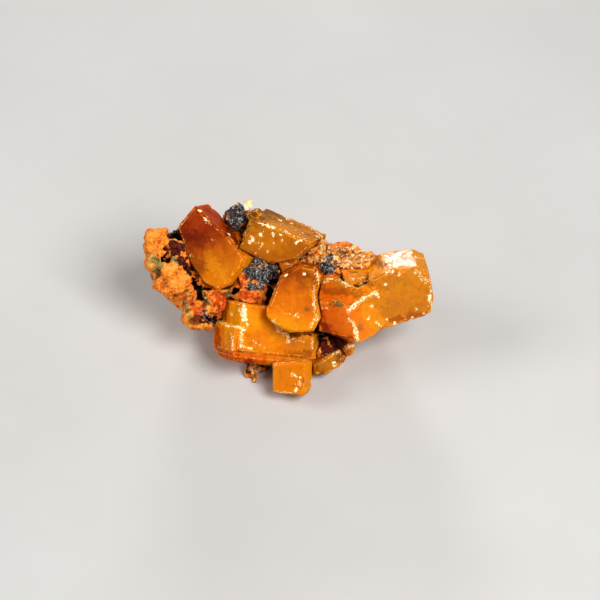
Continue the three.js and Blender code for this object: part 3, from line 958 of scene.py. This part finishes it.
# %% Shape the rock
ROCK_VOXEL = 0.222
ROCK_SWELL = 0.15
HIDDEN_FROM = (-0.3, 0.2)
BREAKS = (6.0, 1.1)
CRAGS = (4.0, 0.5)
RIDGES = (1.9, 0.42)
KNOBS = (1.0, 0.3)
GRAINS = (0.5, 0.12)
FLAT_FOOT = 0.4
CREVICE_DEPTH = 1.1
CREVICE_STROKES = [
    ([(-16.9, 4.9), (-15.8, 2.8), (-14.8, 0.3)], 0.9, 1.0),
    ([(-20.7, 8.3), (-20.2, 5.8)], 0.55, 1.0),
    ([(-19.6, 10.5), (-17.9, 9.8)], 1.1, 1.0),
    ([(-21.0, 6.3), (-19.8, 5.6)], 0.45, 0.9),
    ([(-8.9, 1.1)], 0.9, 1.0),
    ([(-2.6, 2.8), (-3.2, 0.6), (-3.8, -0.9)], 0.8, 1.0),
    ([(-13.4, -3.4), (-12.2, -4.8)], 1.1, 1.0),
    ([(-14.0, 1.4), (-12.6, 1.1)], 0.4, 0.8),
    ([(-8.0, 10.6), (-7.6, 8.4)], 0.7, 1.0),
    ([(14.4, 6.6), (14.9, 5.4)], 0.7, 0.9),
    ([(4.4, -5.6), (5.6, -6.4), (8.2, -6.7)], 0.7, 0.9),
]


def fresh_skin(shape, name, voxel):
    mesh = bpy.data.meshes.new(name)
    shape.to_mesh(mesh)
    piece = bpy.data.objects.new(name, mesh)
    bpy.context.scene.collection.objects.link(piece)
    remesh = piece.modifiers.new("skin", "REMESH")
    remesh.mode = "VOXEL"
    remesh.voxel_size = voxel * MM
    seen = piece.evaluated_get(bpy.context.evaluated_depsgraph_get())
    skin = bpy.data.meshes.new_from_object(seen)
    piece.modifiers.clear()
    piece.data = skin
    bpy.data.meshes.remove(mesh)
    return piece


def broken_height(place):
    return BREAKS[1] * (0.3 - abs(noise.noise(place / BREAKS[0] + Vector((9, 2, 6)))) * 1.8)


def rock_height(place):
    crag = CRAGS[1] * (0.35 - abs(noise.noise(place / CRAGS[0] + Vector((3, 1, 4)))) * 1.6)
    ridge = RIDGES[1] * (0.4 - abs(noise.noise(place / RIDGES[0])) * 2)
    knob = KNOBS[1] * (0.5 - noise.voronoi(place / KNOBS[0])[0][0])
    grit = GRAINS[1] * noise.noise(place / GRAINS[0])
    return crag + ridge + knob + grit


rock_solid = merged_copy("matrix")
rock = fresh_skin(rock_solid, "matrix_rock", ROCK_VOXEL)
rock_solid.free()
brush(rock, "crevice", CREVICE_STROKES)
sunk = [point.value for point in rock.data.attributes["crevice"].data]
rock_shape = bmesh.new()
rock_shape.from_mesh(rock.data)
rock_shape.normal_update()
hidden = [1 - fade(v.normal.dot(OUT_OF_FACE), *HIDDEN_FROM) for v in rock_shape.verts]
heights = [rock_height(v.co / MM) for v in rock_shape.verts]
breaks = [away * broken_height(v.co / MM) for v, away in zip(rock_shape.verts, hidden)]
for vert, height, broken, sink in zip(rock_shape.verts, heights, breaks, sunk):
    foot = fade(vert.co.z / MM, 0.0, FLAT_FOOT)
    vert.co += vert.normal * (ROCK_SWELL + height + broken - CREVICE_DEPTH * sink) * foot * MM
    vert.co.z = max(vert.co.z, 0.0)
rock_shape.to_mesh(rock.data)
rock_shape.free()
rock.data.shade_smooth()
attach(rock, "root")
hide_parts("matrix")
print("rock faces:", len(rock.data.polygons))

# %% [markdown]
# ## Minerals of the rock
# Most of the rock is limonite, rusty orange and granular. Black-grey oxide sits in the hollows
# and in round nodules, a pale crust of tiny crystals covers the shoulder on the right, and there
# is olive clay and red-orange stain in patches. The recesses of the show face get painted shade,
# wine red to black, and the other sides get wine-red patches. On the show face the brush puts
# each mineral where it lies; on the other sides soft noise spreads the same minerals.

# %% Brush the rock
ROCK_STROKES = {
    "scarlet": [
        ([(-8.5, 4.8), (-6.8, 4.9), (-7.0, 3.4)], 1.1, 1.0),
        ([(-13.6, 0.4), (-10.4, -0.6), (-11.4, -2.2)], 1.4, 0.9),
        ([(-8.0, 0.4), (-5.0, -0.2)], 0.8, 0.9),
        ([(-7.2, 2.0)], 0.8, 0.9),
        ([(-16.4, -1.2), (-14.6, -3.4)], 1.8, 0.8),
    ],
    "clay": [
        ([(-22.8, 6.2), (-21.4, 5.4), (-22.0, 4.4)], 1.0, 0.9),
        ([(-19.4, 7.0), (-18.0, 5.4)], 0.9, 1.0),
        ([(-18.6, 9.0), (-17.6, 8.2)], 0.7, 0.8),
        ([(-14.4, 1.4), (-13.6, -0.6)], 0.7, 0.8),
        ([(-17.2, -1.4), (-16.4, -3.2)], 0.9, 0.6),
        ([(-10.2, 1.6), (-9.8, 0.2)], 0.6, 0.9),
        ([(-10.4, 3.0), (-8.8, 3.4)], 0.6, 0.9),
    ],
    "crust": [
        ([(3.5, 9.0), (8.0, 7.6), (13.5, 6.2)], 2.4, 1.0),
        ([(4.0, 6.5), (10.0, 5.6)], 1.8, 1.0),
        ([(1.3, 6.2), (2.4, 6.4)], 1.0, 1.0),
        ([(-6.6, -12.0), (-4.0, -11.8)], 2.4, 0.9),
        ([(-5.8, -14.0)], 1.6, 0.9),
        ([(8.8, -7.4), (8.6, -8.8)], 0.8, 0.8),
    ],
    # Wine red to black: painted shade in the recesses of the show face.
    "wine_and_shade": [
        ([(4.6, -5.8), (7.4, -6.4), (8.2, -7.4), (6.4, -9.0), (5.4, -7.6)], 1.8, 1.0),
        ([(-19.4, 8.8), (-18.2, 7.4), (-17.2, 5.2)], 1.4, 0.9),
        ([(-9.2, 10.4), (-8.2, 8.6)], 1.4, 1.0),
        ([(-14.4, -4.3), (-13.1, -3.4)], 1.0, 1.0),
        ([(-17.1, 5.2), (-15.9, 2.8), (-14.9, 0.3)], 1.2, 0.9),
        ([(-6.8, -12.4), (-5.6, -13.6)], 0.9, 0.55),
        ([(-5.0, -11.4), (-3.6, -11.8)], 0.9, 0.55),
    ],
    "oxide": [
        ([(-11.2, 14.6), (-8.6, 14.4), (-8.4, 11.6), (-10.4, 12.0)], 3.0, 1.0),
        ([(-5.6, 5.9), (-3.4, 5.6)], 1.5, 1.0),
        ([(-6.5, 4.6), (-2.2, 4.6)], 1.6, 1.0),
        ([(-5.8, 3.2), (-2.4, 2.8)], 1.5, 1.0),
        ([(-6.6, 2.0), (-4.6, 1.4)], 1.0, 1.0),
        ([(6.3, 5.2)], 2.0, 1.0),
        ([(-19.6, 10.6), (-18.2, 9.8)], 1.3, 1.0),
        ([(1.8, 6.4)], 0.7, 0.9),
        ([(-13.5, -3.0), (-12.2, -4.4)], 1.2, 0.8),
    ],
}
WILD_PATCHES = {
    "scarlet": (7.0, 0.3),
    "clay": (6.0, 0.5),
    "crust": (6.0, 0.36),
    "wine_and_shade": (5.0, 0.5),
    "oxide": (8.0, 0.36),
}
WILD_OCTAVES = [(1, 1.0), (2.7, 0.6), (7, 0.4)]
WILD_SOFTNESS = 0.35
HOLLOW_SHADE_HEIGHTS = (-0.55, 0.1)

for number, (mineral, strokes) in enumerate(ROCK_STROKES.items()):
    wavelength, level = WILD_PATCHES[mineral]
    wild = []
    for vert, away in zip(rock.data.vertices, hidden):
        place = vert.co / MM / wavelength + Vector((number * 11, 5, 2))
        patch = sum(share * noise.noise(place * octave) for octave, share in WILD_OCTAVES)
        wild.append(away * fade(patch, level, level + WILD_SOFTNESS))
    brush(rock, mineral, strokes, wild)
# The low spots of the skin are marked for painted shade.
hollow_shade = rock.data.attributes.new("hollow_shade", "FLOAT", "POINT")
hollow_shade.data.foreach_set("value", [1 - fade(height, *HOLLOW_SHADE_HEIGHTS) for height in heights])
print("brushed the rock with", len(ROCK_STROKES), "minerals")

# %% [markdown]
# ## Finish of the rock
# Each mineral has a palette, from its darkest grain to its palest. Noise picks the tone on the
# skin of the rock, and cells of random tone pick it in the crust, which is made of separate
# crystals. The brushed attributes, roughened by noise so that no patch has a clean edge, lay the
# minerals over each other, and hollows and crevices are darkened with painted shade.

# %% Rock finish
ROCK_SHINE = 0.15
# Painted shade: near black in the crevices, dark maroon in the low spots.
CREVICE_SHADE = "120303"
HOLLOW_SHADE = "2A0804"
HOLLOW_SHADE_SHARE = 0.75
CRUST_CELL = 0.42
RAG_SIZE = 0.7
RAG_STRAY = 1.1
GRIT_SIZE = 0.45
GRIT_DEPTH = 0.3
CLOUDED_SIZE = 1.6
ROCK_ROUGHNESS = 0.82
OXIDE_ROUGHNESS = 0.5
PALETTES = {
    "limonite": ["521806", "B4480C", "EC781C", "F88E28", "FC9E34", "FFB458"],
    "scarlet": ["6A1A04", "B03A08", "DC5410", "F87C28"],
    "clay": ["4A3818", "7C6428", "A08640", "CCB478"],
    "crust": ["3A0E06", "C86018", "F09838", "8A3C1C", "F8D480", "E88028", "FFF4D4"],
    # Near black to wine red: painted shade in recesses, and wine-red patches on the other sides.
    "wine_and_shade": ["100203", "2A0705", "50120A", "7C2C1A"],
    "oxide": ["070505", "161312", "2E2A28", "544E4A", "8C8680", "CCC8C4"],
}


def ragged(tree, place, name):
    edge = sums(tree, "SUBTRACT", grain(tree, place, RAG_SIZE, 4, 0.7), 0.5)
    frayed = sums(tree, "ADD", attribute(tree, name), sums(tree, "MULTIPLY", edge, RAG_STRAY))
    return between(tree, frayed, 0.35, 0.6)


def minerals(tree, tones, masks):
    colour = ramp(tree, tones["limonite"], evenly(PALETTES["limonite"]))
    for mineral in ROCK_STROKES:
        shade = ramp(tree, tones[mineral], evenly(PALETTES[mineral]))
        colour = mix(tree, masks[mineral], colour, shade)
    return colour


rock_finish, tree, surface, place = start_finish("iron_stained_rock")
grit = grain(tree, place, GRIT_SIZE, 6, 0.75)
clouded = grain(tree, place, CLOUDED_SIZE, 5, 0.7, 0.6)
blend = sums(tree, "ADD", sums(tree, "MULTIPLY", grit, 0.5), sums(tree, "MULTIPLY", clouded, 0.5))
tones = dict.fromkeys(PALETTES, between(tree, blend, 0.34, 0.62))
tones["crust"] = cell_tones(tree, place, CRUST_CELL)
tones["oxide"] = between(tree, grit, 0.32, 0.68)
masks = {mineral: ragged(tree, place, mineral) for mineral in ROCK_STROKES}
colour = minerals(tree, tones, masks)
# Painted shade in the low spots and in the crevices.
shaded = between(tree, attribute(tree, "hollow_shade"), 0.4, 1.0, 0.0, HOLLOW_SHADE_SHARE)
colour = mix(tree, shaded, colour, HOLLOW_SHADE)
colour = mix(tree, ragged(tree, place, "crevice"), colour, CREVICE_SHADE)
feed(surface.inputs["Base Color"], colour)
rough = between(tree, attribute(tree, "oxide"), 0.3, 0.8, ROCK_ROUGHNESS, OXIDE_ROUGHNESS)
feed(surface.inputs["Roughness"], rough)
surface.inputs["Specular IOR Level"].default_value = ROCK_SHINE
feed(surface.inputs["Normal"], relief(tree, grit, GRIT_DEPTH))
rock.data.materials.append(rock_finish)
print("rock finish:", len(PALETTES), "palettes")

# %% [markdown]
# ## Grains on the rock
# Iron-stained rock sheds grains, and the crust and the oxide are nothing but grains. They are
# scattered over the skin with a fixed seed, thick where those minerals lie and thin elsewhere, and
# each takes the minerals of the spot it sits on, with a tone of its own from the same palettes.

# %% Scatter the grains
GRAIN_SEED = 11
GRAIN_TRIES = 14000
GRAIN_SIZES = {"limonite": (0.1, 0.26), "crust": (0.12, 0.3), "oxide": (0.07, 0.2)}
GRAIN_SINK = 0.3
LOWEST_GRAIN = 0.5
GRAIN_CHANCE = {
    "limonite": 0.09,
    "scarlet": 0.2,
    "clay": 0.2,
    "crust": 0.85,
    "wine_and_shade": 0.0,
    "oxide": 0.7,
}
PRESENT = 0.4

layers = {mineral: [p.value for p in rock.data.attributes[mineral].data] for mineral in ROCK_STROKES}
dice = random.Random(GRAIN_SEED)
grains = []
for _ in range(GRAIN_TRIES):
    spot = rock.data.polygons[dice.randrange(len(rock.data.polygons))]
    corner = spot.vertices[0]
    values = {mineral: float(layers[mineral][corner] > PRESENT) for mineral in ROCK_STROKES}
    topmost = "limonite"
    for mineral in ROCK_STROKES:
        if values[mineral]:
            topmost = mineral
    size = dice.uniform(*GRAIN_SIZES.get(topmost, GRAIN_SIZES["limonite"]))
    tone = dice.random()
    lucky = dice.random() < GRAIN_CHANCE[topmost]
    if lucky and sunk[corner] < PRESENT and spot.center.z > LOWEST_GRAIN * MM:
        place = spot.center + spot.normal * size * GRAIN_SINK * MM
        grains.append((place, size, {"tone": tone, **values}))
round_grain = template_of(bmesh.ops.create_icosphere, subdivisions=1, radius=1.0)
rock_grains = joined_bits("rock_grains", round_grain, grains, dice)

# %% Grain finish
GRAIN_SPECKLE = 0.2
GRAIN_ROUGHNESS = 0.7
OXIDE_GRAIN_ROUGHNESS = 0.55

grain_finish, tree, surface, place = start_finish("rock_grain")
grain_speckle = between(tree, grain(tree, place, GRAIN_SPECKLE), 0.3, 0.7, -0.12, 0.12)
grain_tone = sums(tree, "ADD", attribute(tree, "tone"), grain_speckle)
tones = dict.fromkeys(PALETTES, grain_tone)
masks = {mineral: attribute(tree, mineral) for mineral in ROCK_STROKES}
feed(surface.inputs["Base Color"], minerals(tree, tones, masks))
rough = between(tree, attribute(tree, "oxide"), 0.0, 1.0, GRAIN_ROUGHNESS, OXIDE_GRAIN_ROUGHNESS)
feed(surface.inputs["Roughness"], rough)
rock_grains.data.materials.append(grain_finish)
print("grain finish, from the rock's palettes:", len(masks), "masks")

# %% [markdown]

# %% [markdown]
# ## Sizes and the end
# The finished pieces should keep close to the box of the imported solids: wear, chips and grains move
# its sides by a few tenths of a millimetre.

# %% Finish
bpy.context.view_layer.update()
